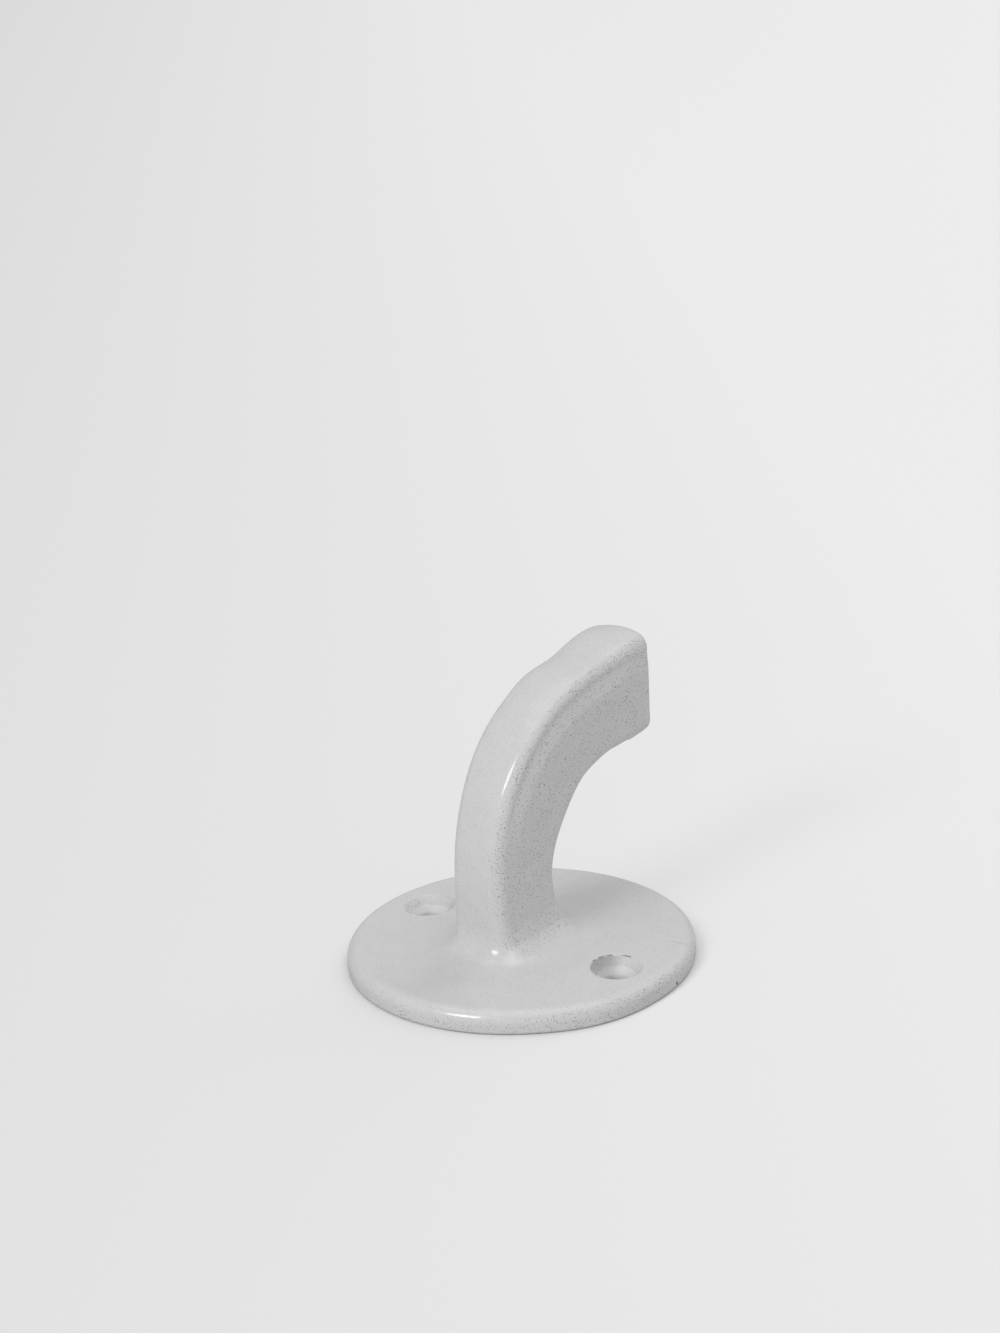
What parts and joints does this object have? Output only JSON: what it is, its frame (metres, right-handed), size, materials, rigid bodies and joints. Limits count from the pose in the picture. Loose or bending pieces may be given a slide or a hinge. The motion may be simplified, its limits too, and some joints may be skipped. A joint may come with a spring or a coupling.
{
  "type": "towel hook",
  "caption": "Towel hook cast in one piece: a round wall plate with countersunk screw holes and a curved oblong arm whose tip turns up the wall.",
  "frame": {"origin": "centre of the round plate's back face, on the wall", "axes": "+Z away from the wall, +Y up the wall, which is the way the arm turns, +X to the right through both screw holes"},
  "size_m": [0.06, 0.06, 0.0523],
  "materials": {
    "speckled_coat": "gloss"
  },
  "bodies": {
    "root": {"towel_hook": "speckled_coat"}
  },
  "joints": []
}
